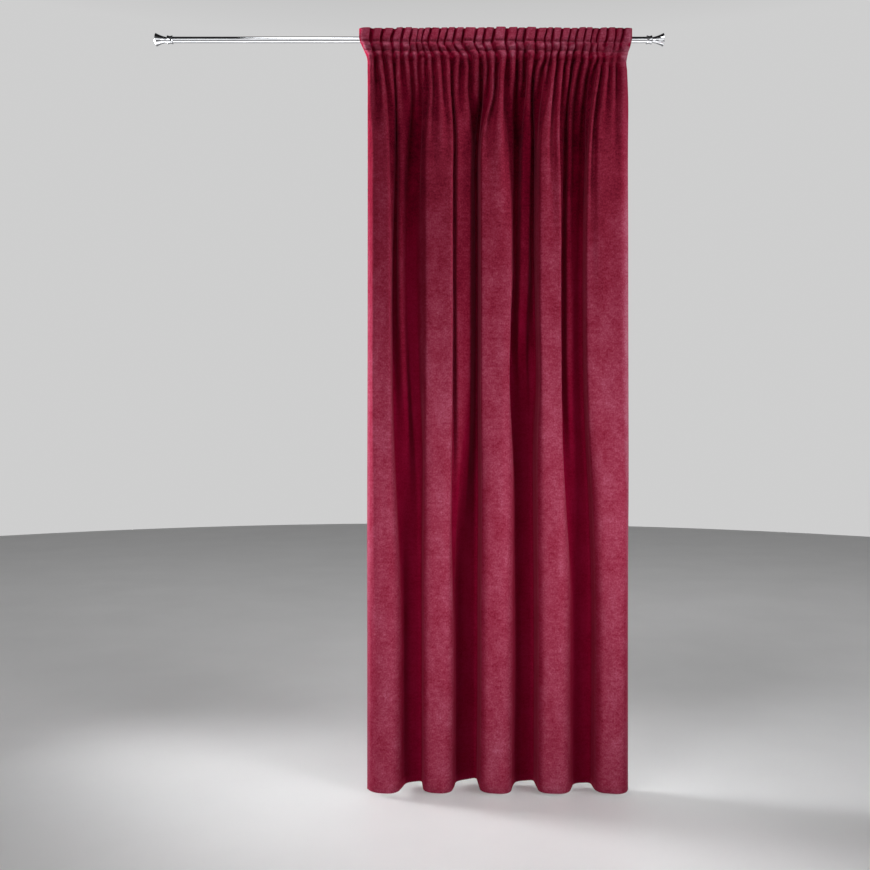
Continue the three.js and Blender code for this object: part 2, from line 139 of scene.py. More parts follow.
def soft_noise(across, down, seed):
    """Smooth unevenness from -1 to 1, with about one rise or dip per unit each way."""
    lattice = np.random.RandomState(seed).uniform(-1, 1, (NOISE_CELLS, NOISE_CELLS))
    i, j = np.floor(across).astype(int), np.floor(down).astype(int)
    s, t = smoothstep(across - i, 0, 1), smoothstep(down - j, 0, 1)

    def corner(a, b):
        return lattice[(i + a) % NOISE_CELLS, (j + b) % NOISE_CELLS]

    return blend(blend(corner(0, 0), corner(1, 0), s), blend(corner(0, 1), corner(1, 1), s), t)


def measure_folds(along, back):
    """The angle of each flat stretch between the folds' corners, and where those are along the cloth."""
    across, deep = np.diff(along.ravel()), np.diff(back.ravel())
    places = np.concatenate([[0], np.cumsum(np.hypot(across, deep))])
    return np.arctan2(deep, across), places.reshape(along.shape)


def face_middles(folds):
    return (folds[:, 1] + folds[:, 2]) / 2


def between_edges(edges, places):
    return np.concatenate([[edges[0]], places, [edges[1]]])


hem_slopes, hem_places = measure_folds(HEM_ALONG, HEM_BACK)
CLOTH_WIDTH = hem_places[-1, -1]
CELL = CLOTH_WIDTH / CELLS
cell_cloth = (np.arange(CELLS) + 0.5) * CELL
lobe_places = face_middles(hem_places)

# The middle folds share the cloth between two lobes as the hem's folds do
middle_slopes, middle_cut = measure_folds(MIDDLE_ALONG, MIDDLE_BACK)
middle_lobes = face_middles(middle_cut[LOBES_IN_MIDDLE])
middle_places = np.interp(
    middle_cut, between_edges((0, middle_cut[-1, -1]), middle_lobes),
    between_edges((0, CLOTH_WIDTH), lobe_places))


def fold_angles(slopes, places, soft):
    """The cloth's angle to the rod in each cell: flat stretches, with a soft turn at each corner."""
    angles = np.full(CELLS, slopes[0])
    halves = np.tile(soft / 2, len(places))[1:-1]
    for turn, place, half in zip(np.diff(slopes), places.ravel()[1:-1], halves):
        angles += turn * smoothstep(cell_cloth, place - half, place + half)
    return angles


hem_angles = fold_angles(hem_slopes, hem_places, HEM_SOFT)
middle_angles = fold_angles(middle_slopes, middle_places, MIDDLE_SOFT)

# Each groove of the heading runs from one pleat's face, back to its valley and out to the next face
head_anchors = between_edges((0, HEAD_WIDTH), SMALL_FOLD_HEADS)
cloth_anchors = between_edges((0, CLOTH_WIDTH), face_middles(middle_places[SMALL_FOLDS_IN_MIDDLE]))
valleys = np.interp(PLEAT_ALONG, head_anchors, cloth_anchors)
faces = between_edges((0, CLOTH_WIDTH), (valleys[1:] + valleys[:-1]) / 2)


def flat_faced(t):
    start, full, ease, end = PLEAT_SIDE

    def steepness(share):
        return smoothstep(share, start, full) * (1 - smoothstep(share, ease, end))

    return steepness(2 * t) - steepness(2 * (1 - t))


def rounded(t):
    return np.sin(2 * np.pi * t)


def turned_back(t):
    return np.where(t < 0.5, 2 * t, 2 * t - 2)


def groove_angles(between_sides):
    """The cloth's angle in each cell where every groove takes its share of the width.
    The half grooves at both side edges turn back steadily, as the side hems are stiffer."""
    angles = np.zeros(CELLS)
    for start, end, valley in zip(faces, faces[1:], valleys):
        shape = turned_back if valley in (valleys[0], valleys[-1]) else between_sides
        here = (cell_cloth >= start) & (cell_cloth < end)
        taken = np.diff(np.interp([start, end], cloth_anchors, head_anchors))[0] / (end - start)
        steep = bisect(0, STEEPEST, lambda a: np.cos(a * shape(GROOVE_SAMPLES)).mean() > taken)
        angles[here] = steep * shape(np.interp(cell_cloth[here], [start, valley, end], [0, 0.5, 1]))
    return angles


header_angles = groove_angles(flat_faced)
gathered_angles = groove_angles(rounded)
cell_reach = PLEAT_REACH[np.searchsorted(faces, cell_cloth) - 1]


def width_of(angles):
    return np.cos(angles).sum() * CELL


def header_share(height):
    return 1 - smoothstep(height, FLARED_HEADER, LAST_ROW)


def fit_width(angles, width):
    """The angles, made steeper or flatter until the cloth is that wide."""

    def bent(gain):
        return np.clip(gain * angles, -STEEPEST, STEEPEST)

    return bent(bisect(0, DEEPEST_GAIN, lambda gain: width_of(bent(gain)) > width))


# Only the ends of the heading flare out past the folds below it
left_flare = BODY_LEFT - HEAD_LEFT
head_flares = (left_flare, 0, HEAD_WIDTH - BODY_WIDTH - left_flare)
cell_part = np.searchsorted(FLARED_ENDS, np.interp(cell_cloth, cloth_anchors, head_anchors))
part_widths = np.diff(between_edges((0, HEAD_WIDTH), FLARED_ENDS))


def pleat_angles(height):
    """Angles across the heading, as its width asks: flat faces at the top, rounder to the last row."""
    angles = blend(header_angles, gathered_angles, smoothstep(height, FIRST_ROW, LAST_ROW))
    for i, (width, flare) in enumerate(zip(part_widths, head_flares)):
        here = cell_part == i
        angles[here] = fit_width(angles[here], width - flare * (1 - header_share(height)))
    return angles


def running_sum(start, steps):
    return start + np.concatenate([[0], np.cumsum(steps) * CELL])


released = pleat_angles(LAST_ROW)
HEAD_DEPTH = np.ptp(running_sum(0, np.sin(released)))
HEAD_REAR = -ROD_RADIUS - ROD_CLEARANCE - CLOTH_THICK / 2
cell_stretch = np.searchsorted(lobe_places, cell_cloth)
stretches = [cell_stretch == i for i in range(len(MERGE_FROM))]
head_widths = [width_of(released[here]) for here in stretches]
middle_widths = np.diff(between_edges((0, BODY_WIDTH), face_middles(MIDDLE_ALONG[LOBES_IN_MIDDLE])))
hem_widths = np.diff(between_edges((0, BODY_WIDTH), face_middles(HEM_ALONG)))


def settled(height, end):
    """Below the last row the cloth gives way soon and then settles slowly."""
    return 1 - (1 - np.clip((height - LAST_ROW) / (end - LAST_ROW), 0, 1)) ** SETTLING


def hung_angles(height):
    """The cloth's angle to the rod in each cell, with the folds as deep as the hung width asks."""
    formed = settled(height, FOLDS_FORMED)
    widened = smoothstep(height, LOBES_WIDEN_FROM, LOBES_WIDEN_TO)
    down = np.full(CELLS, height / RIPPLE_TALL)
    fine = released * (1 - smoothstep(height, LAST_ROW, cell_reach))
    fine += formed * RIPPLE * soft_noise(cell_cloth / RIPPLE_WIDE, down, RIPPLE_SEED)
    angles = np.zeros(CELLS)
    for i, here in enumerate(stretches):
        merged = smoothstep(height, MERGE_FROM[i], MERGE_TO[i])
        folds = formed * blend(middle_angles[here], hem_angles[here], merged) + fine[here]
        width = blend(blend(head_widths[i], middle_widths[i], formed), hem_widths[i], widened)
        angles[here] = fit_width(folds, width)
    return angles


def level_lobes(ys, height):
    """Brings the lobes level with each other at the front, as the hem has them."""
    cells = np.round(lobe_places / CELL).astype(int)
    off = settled(height, HANG_SETTLED) * (ys[cells] - face_middles(HEM_BACK))
    return ys - np.interp(np.arange(CELLS + 1), cells, off)


def section(height):
    """Plan section at a height below the top edge: x and y at each cell's ends."""
    pleated = height <= LAST_ROW
    angles = pleat_angles(height) if pleated else hung_angles(height)
    left = blend(BODY_LEFT, HEAD_LEFT, header_share(height))
    xs = running_sum(left, np.cos(angles))
    ys = level_lobes(running_sum(0, np.sin(angles)), height)
    if pleated:
        centre = HEAD_REAR - np.ptp(ys) / 2
    else:
        centre = blend(HEAD_REAR - HEAD_DEPTH / 2, HANG_CENTRE, settled(height, HANG_SETTLED))
    return xs, ys + centre - (ys.max() + ys.min()) / 2


# The sheet's grid: columns across the flat cut, and steps down between the heights where it changes
COLUMNS = 560
PLEATS_END = 560 * MM
HEM_FADE = 6 * MM
ROW_EDGES = (0, *SEWN_ROWS, PLEATS_END, DROP - HEM_DEPTH - HEM_FADE, DROP - HEM_DEPTH + HEM_FADE, DROP)
ROW_STEPS = (12, 9, 10, 28, 24, 2, 3)

row_ranges = zip(ROW_EDGES, ROW_EDGES[1:], ROW_STEPS)
heights = np.concatenate([np.linspace(*row_range, endpoint=False) for row_range in row_ranges] + [[DROP]])
column_cloth = np.linspace(0, CLOTH_WIDTH, COLUMNS + 1)
cell_ends = np.linspace(0, CLOTH_WIDTH, CELLS + 1)


def across_sheet(places, height):
    """The panel's x and y at places along the cloth."""
    xs, ys = section(height)
    return np.interp(places, cell_ends, xs), np.interp(places, cell_ends, ys)


hung = np.array([across_sheet(column_cloth, height) for height in heights])
panel_x, panel_y = hung[:, 0], hung[:, 1]
panel_u, panel_h = np.meshgrid(column_cloth, heights)

# Sewn rows pinch the cloth in to the tape, more at the first two, and the right end is pulled nearly flat
PINCHES = (0.55, 0.5, 0.1)
PINCH_HALF = 3.5 * MM
FLAT_END = 0.7
FLATTEST = 0.85
FLAT_END_ALONG = (610 * MM, 640 * MM)
FLAT_END_EASED = 1.3 * LAST_ROW

pinched = sum(
    pinch * np.exp(-((panel_h - row) / PINCH_HALF) ** 2) for pinch, row in zip(PINCHES, SEWN_ROWS))
pulled_flat = FLAT_END * smoothstep(panel_x, *FLAT_END_ALONG) * smoothstep(panel_h, FIRST_ROW, SECOND_ROW)
pinched += pulled_flat * (1 - smoothstep(panel_h, LAST_ROW, FLAT_END_EASED))
panel_y = HEAD_REAR + (panel_y - HEAD_REAR) * (1 - np.minimum(pinched, FLATTEST))

# Between the rows the cloth puffs out in slanted crumples
PUCKER = 15 * MM
PUCKER_WIDE = 24 * MM
PUCKER_TALL = 10 * MM
PUCKER_SLANT = 0.8
PUCKER_SEED = 23

puffed = sum(
    np.sin(np.pi * np.clip((panel_h - row) / (next_row - row), 0, 1)) ** 2
    for row, next_row in zip(SEWN_ROWS, SEWN_ROWS[1:]))
pucker_across = (panel_x + PUCKER_SLANT * panel_h) / PUCKER_WIDE
pucker_down = panel_h / PUCKER_TALL
panel_y -= PUCKER * puffed * (1 + soft_noise(pucker_across, pucker_down, PUCKER_SEED)) / 2

# Down to the tape's last row the pleats lean and shift sideways, apart from the stiffer side hems
PLEAT_LEAN = 0.2
LEAN_MIDDLE = 23 * MM
LEAN_GONE = 2 * LAST_ROW
PLEAT_SHIFT = 3 * MM
PLEAT_SHIFT_WIDE = 40 * MM
PLEAT_SHIFT_TALL = 34 * MM
PLEAT_SHIFT_SEED = 11
SIDE_KEPT = 60 * MM

loose = smoothstep(panel_u, 0, SIDE_KEPT) * smoothstep(CLOTH_WIDTH - panel_u, 0, SIDE_KEPT)
loose *= 1 - smoothstep(panel_h, SECOND_ROW, LEAN_GONE)
shift = soft_noise(panel_u / PLEAT_SHIFT_WIDE, panel_h / PLEAT_SHIFT_TALL, PLEAT_SHIFT_SEED)
lean = LEAN_MIDDLE - np.minimum(panel_h, FIRST_ROW)
panel_x += loose * (PLEAT_SHIFT * shift + PLEAT_LEAN * lean)

# The top edge waves a little, and the pleats' faces sag below their valleys
TOP_WAVE = 1.8 * MM
TOP_WAVE_SEED = 31
FACES_SAG = 5 * MM

frill = 1 - smoothstep(panel_h, 0, FIRST_ROW)
wave = soft_noise(panel_u / PLEAT_SHIFT_WIDE, np.zeros_like(panel_h), TOP_WAVE_SEED)
panel_z = TOP_EDGE - panel_h + TOP_WAVE * frill * wave
row_front = panel_y.min(axis=1, keepdims=True)
behind_faces = (panel_y - row_front) / np.ptp(panel_y, axis=1, keepdims=True)
panel_z -= FACES_SAG * frill * (1 - behind_faces)
panel_points = np.stack([panel_x, panel_y, panel_z], axis=2)


def add_mesh(name, bm, smooth=True):
    mesh = bpy.data.meshes.new(name)
    bm.to_mesh(mesh)
    bm.free()
    mesh.polygons.foreach_set("use_smooth", np.full(len(mesh.polygons), smooth))
    piece = bpy.data.objects.new(name, mesh)
    bpy.context.scene.collection.objects.link(piece)
    return piece


def hang_sheet(name, points, flat_cut):
    """A flat grid moved onto points, row by row from the top, with its flat cut in metres as its UV map.
    Also gives the row and column of each of its vertices."""
    rows, columns = points.shape[0] - 1, points.shape[1] - 1
    bm = bmesh.new()
    bmesh.ops.create_grid(bm, x_segments=columns, y_segments=rows, size=0.5)
    flat = np.array([vertex.co for vertex in bm.verts])
    row_of = np.rint((0.5 - flat[:, 1]) * rows).astype(int)
    column_of = np.rint((flat[:, 0] + 0.5) * columns).astype(int)
    spots = (row_of, column_of)
    for vertex, point in zip(bm.verts, points[spots]):
        vertex.co = point
    sheet = add_mesh(name, bm)
    corners = np.zeros(len(sheet.data.loops), dtype=int)
    sheet.data.loops.foreach_get("vertex_index", corners)
    sheet.data.uv_layers.new(name="flat_cut").data.foreach_set("uv", flat_cut[spots][corners].ravel())
    return sheet, spots


def thicken(sheet, thickness):
    cloth = sheet.modifiers.new("cloth_thickness", "SOLIDIFY")
    cloth.thickness = thickness
    cloth.offset = 0
    return cloth


panel_flat = np.stack([panel_u, DROP - panel_h], axis=2)
panel, panel_spots = hang_sheet("velvet_panel", panel_points, panel_flat)
turned_in = (panel_h > DROP - HEM_DEPTH) | (panel_u < SIDE_HEM) | (panel_u > CLOTH_WIDTH - SIDE_HEM)
doubled = panel.vertex_groups.new(name="turned_in_edges")
for index, is_double in enumerate(turned_in[panel_spots]):
    doubled.add([index], 1 if is_double else CLOTH_THICK / HEM_THICK, "REPLACE")
cloth = thicken(panel, HEM_THICK)
cloth.vertex_group = doubled.name
cloth.material_offset = 1

# Painted shade in the pile's colour: darker in the pleats and in the valleys of the folds, by how far
# each point lies behind the cloth in front of it, and on the sides of the folds that face left
PLEAT_SHADE_DEPTH = 12 * MM
PLEAT_SHADE = 0.6
PLEAT_SPAN = 26 * MM
FOLD_SHADE_DEPTH = 88 * MM
FOLD_SPAN = 150 * MM
LEFT_SHADE = 0.45
LEFT_TURN = (0.2, 0.9)


def depth_behind(ys, span):
    """How far each point is behind the front-most cloth within that span along it."""
    steps = round(span / CLOTH_WIDTH * COLUMNS)
    padded = np.pad(ys, ((0, 0), (steps, steps)), mode="edge")
    return ys - np.min([padded[:, i:i + ys.shape[1]] for i in range(2 * steps + 1)], axis=0)


pleat_depth = depth_behind(panel_y, PLEAT_SPAN)
shade_in_pleats = np.clip(pleat_depth / PLEAT_SHADE_DEPTH, 0, PLEAT_SHADE)
shade_in_folds = np.clip(depth_behind(panel_y, FOLD_SPAN) / FOLD_SHADE_DEPTH, 0, 1)
painted_shade = blend(shade_in_pleats, shade_in_folds, settled(panel_h, HANG_SETTLED))
run_x, run_y = np.gradient(panel_x, axis=1), np.gradient(panel_y, axis=1)
left_side_shade = smoothstep(-run_y / np.hypot(run_x, run_y), *LEFT_TURN)
left_side_shade *= smoothstep(panel_u, SIDE_KEPT / 2, SIDE_KEPT)
painted_shade = np.maximum(painted_shade, LEFT_SHADE * left_side_shade)

# Painted light and shade on the faces: painted shade below the tape that lies in uneven blotches and
# fades lower down, painted highlights along the side edges and on the crumples, and painted shade in the
# narrow gaps between the pleats
TOP_SHADE = 0.14
TOP_SHADE_FADES = (300 * MM, 1300 * MM)
TOP_SHADE_BLOTCH = (95 * MM, 420 * MM)
TOP_SHADE_UNEVEN = 0.6
TOP_SHADE_SHIFT = 9
TOP_SHADE_SEED = 132
GAP_DEPTH = 10 * MM
GAP_SHADE = 0.16
GAPS_CLOSED = (250 * MM, 800 * MM)
EDGE_HIGHLIGHT = 0.35
EDGE_HIGHLIGHT_WIDE = 32 * MM
PUCKER_HIGHLIGHT = 0.17
PUCKER_HIGHLIGHT_MEAN = 0.4
PUCKER_HIGHLIGHT_SEED = 61

below_tape = smoothstep(panel_h, SECOND_ROW, LAST_ROW)
# Painted shade below the tape, fading out lower down and lying in uneven blotches
top_shade = TOP_SHADE * below_tape * (1 - smoothstep(panel_h, *TOP_SHADE_FADES))
top_shade_across = panel_x / TOP_SHADE_BLOTCH[0] + TOP_SHADE_SHIFT
top_shade *= 1 + TOP_SHADE_UNEVEN * soft_noise(top_shade_across, panel_h / TOP_SHADE_BLOTCH[1], TOP_SHADE_SEED)
in_gaps = GAP_SHADE * below_tape * np.clip(pleat_depth / GAP_DEPTH, 0, 1)
in_gaps *= 1 - smoothstep(panel_h, *GAPS_CLOSED)
# Painted highlight along both side edges
edge_highlight_mask = 1 - smoothstep(np.minimum(panel_u, CLOTH_WIDTH - panel_u), 0, EDGE_HIGHLIGHT_WIDE)
# Painted highlights on the crumples between the sewn rows
pucker_highlight_mask = PUCKER_HIGHLIGHT_MEAN + soft_noise(pucker_across, pucker_down, PUCKER_HIGHLIGHT_SEED)
painted_light_and_shade = EDGE_HIGHLIGHT * edge_highlight_mask + PUCKER_HIGHLIGHT * puffed * pucker_highlight_mask - top_shade - in_gaps
for name, values in (("painted_shade", painted_shade), ("painted_light_and_shade", painted_light_and_shade)):
    panel.data.attributes.new(name, "FLOAT", "POINT").data.foreach_set("value", values[panel_spots])


def new_material(name):
    material = bpy.data.materials.new(name)
    material.use_nodes = True
    return material, material.node_tree.nodes["Principled BSDF"]


def add_node(material, kind, inputs=(), **settings):
    """A node with its settings; an input is a value, or another node's output to link from."""
    node = material.node_tree.nodes.new(kind)
    for name, value in settings.items():
        setattr(node, name, value)
    for socket, value in dict(inputs).items():
        if isinstance(value, bpy.types.NodeSocket):
            material.node_tree.links.new(value, node.inputs[socket])
        else:
            node.inputs[socket].default_value = value
    return node


def link(material, output, shader, socket):
    material.node_tree.links.new(output, shader.inputs[socket])


def set_shader(shader, **values):
    for name, value in values.items():
        shader.inputs[name.replace("_", " ")].default_value = value


def flat_cut_of(material):
    return add_node(material, "ShaderNodeUVMap", uv_map="flat_cut").outputs["UV"]


def attribute_of(material, name):
    return add_node(material, "ShaderNodeAttribute", attribute_name=name).outputs["Fac"]


def noise_on(material, coordinates, size, detail=2, roughness=0.5):
    """Noise whose blotches are about size = (x, y, z) metres."""
    scale = tuple(1 / s for s in size)
    spread = add_node(material, "ShaderNodeMapping", {"Vector": coordinates, "Scale": scale})
    noise = add_node(material, "ShaderNodeTexNoise", {
        "Vector": spread.outputs["Vector"], "Scale": 1, "Detail": detail, "Roughness": roughness})
    return noise.outputs["Fac"]


def map_range(material, value, low, high, to_low=0, to_high=1):
    mapped = add_node(material, "ShaderNodeMapRange", {
        "Value": value, "From Min": low, "From Max": high, "To Min": to_low, "To Max": to_high})
    return mapped.outputs["Result"]


def ramp_on(material, value, stops):
    """A colour ramp with stops of (place, colour)."""
    ramp = add_node(material, "ShaderNodeValToRGB", {"Fac": value})
    elements = ramp.color_ramp.elements
    while len(elements) < len(stops):
        elements.new(0.5)
    for element, (place, colour) in zip(elements, stops):
        element.position = place
        element.color = (*colour, 1)
    return ramp.outputs["Color"]


# A Mix node has sockets of each kind under the same names: 2 and 3 take values, 6 and 7 take colours
def mix_values(material, a, b, share):
    return add_node(material, "ShaderNodeMix", {0: share, 2: a, 3: b}).outputs[0]


def mix_colours(material, a, b, share):
    return add_node(material, "ShaderNodeMix", {0: share, 6: a, 7: b}, data_type="RGBA").outputs[2]


def bump_on(material, shader, height, strength, distance):
    bump = add_node(material, "ShaderNodeBump", {
        "Height": height, "Strength": strength, "Distance": distance})
    link(material, bump.outputs["Normal"], shader, "Normal")


# Pile colours from painted shade through its own tones to painted highlight: place on the scale, colour
FACE_PILE = [
    (0.05, (0.06, 0.001, 0.006)),
    (0.22, (0.14, 0.008, 0.021)),
    (0.36, (0.18, 0.013, 0.031)),
    (0.5, (0.225, 0.028, 0.056)),
    (0.64, (0.275, 0.053, 0.092)),
    (0.85, (0.36, 0.13, 0.18))]
# The same scale darkened by painted shade, for the pleats, the valleys and the left-facing sides
SHADED_PILE = [
    (0.05, (0.04, 0.0, 0.004)),
    (0.38, (0.13, 0.001, 0.012)),
    (0.63, (0.165, 0.0035, 0.021))]
FULL_SHADE = 0.6
BRUSHED_PATCH = (60 * MM, 100 * MM, 1)
PILE_MOTTLE = (17 * MM, 12 * MM, 1)
PILE_GRAIN = (5 * MM, 6 * MM, 1)
MOTTLE_SHARE = 0.5
GRAIN_SHARE = 0.4
UNEVEN_FROM = 0.17
UNEVEN_TO = 0.83
PILE_BUMP = 0.6 * MM
SHEEN_TINT = (1.0, 0.16, 0.26, 1)

velvet, shader = new_material("burgundy_velvet")
flat = flat_cut_of(velvet)
patches = noise_on(velvet, flat, BRUSHED_PATCH, detail=3, roughness=0.55)
mottle = noise_on(velvet, flat, PILE_MOTTLE, detail=5, roughness=0.6)
grain = noise_on(velvet, flat, PILE_GRAIN, detail=3, roughness=0.6)
blotches = mix_values(velvet, mix_values(velvet, patches, mottle, MOTTLE_SHARE), grain, GRAIN_SHARE)
uneven = map_range(velvet, blotches, UNEVEN_FROM, UNEVEN_TO)
# The pile's random tone plus the painted light and shade of its faces
pile_tone_and_light = add_node(velvet, "ShaderNodeMath", {0: uneven, 1: attribute_of(velvet, "painted_light_and_shade")}).outputs["Value"]
face_colour = ramp_on(velvet, pile_tone_and_light, FACE_PILE)
shaded_colour = ramp_on(velvet, pile_tone_and_light, SHADED_PILE)
# Painted shade: the face colour gives way to the darker scale where the shade attribute is full
in_shade = map_range(velvet, attribute_of(velvet, "painted_shade"), 0, FULL_SHADE)
link(velvet, mix_colours(velvet, face_colour, shaded_colour, in_shade), shader, "Base Color")
bump_on(velvet, shader, grain, strength=0.25, distance=PILE_BUMP)
set_shader(shader, Roughness=0.85, Specular_IOR_Level=0, Sheen_Weight=0.14, Sheen_Roughness=0.4,
           Sheen_Tint=SHEEN_TINT)
panel.data.materials.append(velvet)

# The back of the velvet shows its ground cloth, a plain ribbed weave
BACKING_COLOURS = [(0.2, (0.10, 0.004, 0.016)), (0.8, (0.20, 0.018, 0.045))]
BACKING_RIB = 1.6 * MM
BACKING_SLUB = (9 * MM, 60 * MM, 1)
SLUB_SHARE = 0.6
BACKING_BUMP = 0.3 * MM
WAVE_AT_SCALE_ONE = 0.31


def ribs_on(material, coordinates, pitch, distortion=0, direction="X"):
    """Waves along X or Y, with one rib for each pitch in metres."""
    waves = add_node(material, "ShaderNodeTexWave", {
        "Vector": coordinates, "Scale": WAVE_AT_SCALE_ONE / pitch, "Distortion": distortion},
        bands_direction=direction)
    return waves.outputs["Fac"]


backing, shader = new_material("velvet_backing")
flat = flat_cut_of(backing)
ribs = ribs_on(backing, flat, BACKING_RIB, distortion=1.5)
weave = mix_values(backing, ribs, noise_on(backing, flat, BACKING_SLUB, detail=3), SLUB_SHARE)
link(backing, ramp_on(backing, weave, BACKING_COLOURS), shader, "Base Color")
bump_on(backing, shader, ribs, strength=0.3, distance=BACKING_BUMP)
set_shader(shader, Roughness=0.9, Specular_IOR_Level=0.1, Sheen_Weight=0.15)
panel.data.materials.append(backing)

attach(panel, "root")
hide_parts("curtain_panel")

# Stitching: three rows of burgundy thread that go through the velvet and the tape behind it.
# They pull the pleats in to the tape, so each row lies in a narrow groove across the heading.
STITCH_PITCH = 5 * MM
STITCH_LENGTH = 3.6 * MM
STITCH_RADIUS = 0.45 * MM
STITCH_CROWN = 1.3
THREAD_COLOURS = [(0.3, (0.10, 0.004, 0.014)), (0.7, (0.19, 0.012, 0.034))]
THREAD_TWIST = 0.5 * MM
THREAD_BUMP = 0.1 * MM

stitch_cloth = np.arange(STITCH_PITCH, CLOTH_WIDTH - STITCH_PITCH, STITCH_PITCH)
threads = bpy.data.curves.new("stitch_threads", "CURVE")
threads.dimensions = "3D"
threads.bevel_depth = STITCH_RADIUS
threads.bevel_resolution = 1
threads.use_fill_caps = True


def along_row(line, places):
    """Points on one row of the panel, at places along the cloth."""
    return np.stack([np.interp(places, column_cloth, line[:, axis]) for axis in range(3)], axis=1)


for row in SEWN_ROWS:
    line = panel_points[np.abs(heights - row).argmin()]
    starts = along_row(line, stitch_cloth - STITCH_LENGTH / 2)
    ends = along_row(line, stitch_cloth + STITCH_LENGTH / 2)
    for start, end in zip(starts, ends):
        outward = Vector((end[1] - start[1], start[0] - end[0], 0)).normalized() * CLOTH_THICK / 2
        stitch = threads.splines.new("POLY")
        stitch.points.add(2)
        crown = (start + end) / 2 + outward * STITCH_CROWN
        for point, place in zip(stitch.points, (start + outward, crown, end + outward)):
            point.co = (*place, 1)
drawn = bpy.data.objects.new("stitch_threads", threads)
stitching = bpy.data.objects.new("stitching", bpy.data.meshes.new_from_object(drawn))
bpy.data.objects.remove(drawn)
bpy.context.scene.collection.objects.link(stitching)


def object_place_of(material):
    return add_node(material, "ShaderNodeTexCoord").outputs["Object"]


thread, shader = new_material("burgundy_thread")
twist = noise_on(thread, object_place_of(thread), (THREAD_TWIST, THREAD_TWIST, THREAD_TWIST))
link(thread, ramp_on(thread, twist, THREAD_COLOURS), shader, "Base Color")
bump_on(thread, shader, twist, strength=0.3, distance=THREAD_BUMP)
set_shader(shader, Roughness=0.8, Specular_IOR_Level=0.1)
stitching.data.materials.append(thread)

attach(stitching, "root")

# Heading tape: an off-white woven tape sewn to the back of the pleats along the same three rows.
# Between its top seam and the first row it stands off as a tunnel, and the rod runs through it.
TAPE_THICK = 1.2 * MM
TAPE_TOP = 10 * MM
TUNNEL_TOP = 17 * MM
SEAM_GAP = 0.56 * MM
TUNNEL_GAP = 0.3 * MM
TAPE_PUCKER = 3 * MM
TAPE_STEPS_PER_PLEAT = 8
TAPE_STEPS_PER_ROW = 6
TUNNEL_STEPS = 24

seam_off = CLOTH_THICK / 2 + SEAM_GAP + TAPE_THICK / 2
tunnel_round = ROD_RADIUS + TUNNEL_GAP + TAPE_THICK / 2
pleat_count = len(valleys) - 1
tape_pleats = np.linspace(0, pleat_count, pleat_count * TAPE_STEPS_PER_PLEAT + 1)
tape_cloth = np.interp(tape_pleats, np.arange(len(valleys)), valleys)


def seam(height):
    """The tape's x and y along a seam: from valley to valley, behind the rearmost of each three."""
    xs, ys = across_sheet(valleys, height)
    rearmost = np.max([np.roll(np.pad(ys, 1, mode="edge"), i)[1:-1] for i in (-1, 0, 1)], axis=0)
    return np.interp(tape_cloth, valleys, xs), np.interp(tape_cloth, valleys, rearmost) + seam_off


def tangent_angle(y, z):
    """Where round the tunnel the straight tape from a seam meets it."""
    return np.arctan2(np.abs(z), y) - np.arccos(tunnel_round / np.hypot(y, z))


top_x, top_y = seam(TUNNEL_TOP)
foot_x, foot_y = seam(FIRST_ROW)
above, below = TOP_EDGE - TUNNEL_TOP, TOP_EDGE - FIRST_ROW
first, last = tangent_angle(top_y, above), -tangent_angle(foot_y, below)
tape_rows = [(*seam(TAPE_TOP), TOP_EDGE - TAPE_TOP), (top_x, top_y, above)]
for share in np.linspace(0, 1, TUNNEL_STEPS + 1):
    turn = blend(first, last, share)
    along = blend(top_x, foot_x, share)
    tape_rows.append((along, tunnel_round * np.cos(turn), tunnel_round * np.sin(turn)))
sewn_from = len(tape_rows)
for row, next_row in zip(SEWN_ROWS, SEWN_ROWS[1:]):
    for share in np.linspace(0, 1, TAPE_STEPS_PER_ROW, endpoint=False):
        height = blend(row, next_row, share)
        tape_rows.append((*seam(height), TOP_EDGE - height))
tape_rows.append((*seam(LAST_ROW), TOP_EDGE - LAST_ROW))
tape_points = np.array([
    np.stack([np.broadcast_to(value, tape_cloth.shape) for value in row], axis=1) for row in tape_rows])
tape_points[sewn_from:, :, 1] += TAPE_PUCKER * np.abs(np.sin(np.pi * tape_pleats))


def run_along(points):
    """How far along a line of points each one is."""
    return np.concatenate([[0], np.cumsum(np.linalg.norm(np.diff(points, axis=0), axis=1))])


tape_down = run_along(tape_points[:, 0])
tape_run = run_along(tape_points[-1])
tape_flat = np.stack(np.meshgrid(tape_run, tape_down[-1] - tape_down), axis=2)
tape, _ = hang_sheet("woven_heading_tape", tape_points, tape_flat)
thicken(tape, TAPE_THICK)

TAPE_COLOURS = [(0.2, (0.50, 0.44, 0.38)), (0.75, (0.76, 0.70, 0.63))]
TAPE_THREAD = 1.1 * MM
TAPE_CORD = 30 * MM
TAPE_BUMP = 0.3 * MM
WEFT_SHARE = 0.5
CORD_SHARE = 0.35

woven, shader = new_material("woven_tape")
flat = flat_cut_of(woven)
warp = ribs_on(woven, flat, TAPE_THREAD, distortion=0.6, direction="X")
weft = ribs_on(woven, flat, TAPE_THREAD, distortion=0.6, direction="Y")
cords = ribs_on(woven, flat, TAPE_CORD, direction="Y")
weave = mix_values(woven, mix_values(woven, warp, weft, WEFT_SHARE), cords, CORD_SHARE)
link(woven, ramp_on(woven, weave, TAPE_COLOURS), shader, "Base Color")
bump_on(woven, shader, weave, strength=0.4, distance=TAPE_BUMP)
set_shader(shader, Roughness=0.85, Specular_IOR_Level=0.2, Sheen_Weight=0.1)
tape.data.materials.append(woven)

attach(tape, "root")
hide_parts("heading_tape")

# Rod: a plain chrome-plated steel tube, threaded through the tape's tunnel.
# Its ends sit in the finials' sleeves, so only its outside shows.
ROD_LENGTH = 1600 * MM
ROD_END_ROUND = 0.8 * MM
TURNED_SIDES = 96
SHARP_ANGLE = math.radians(30)
SAME_POINT = 0.01 * MM


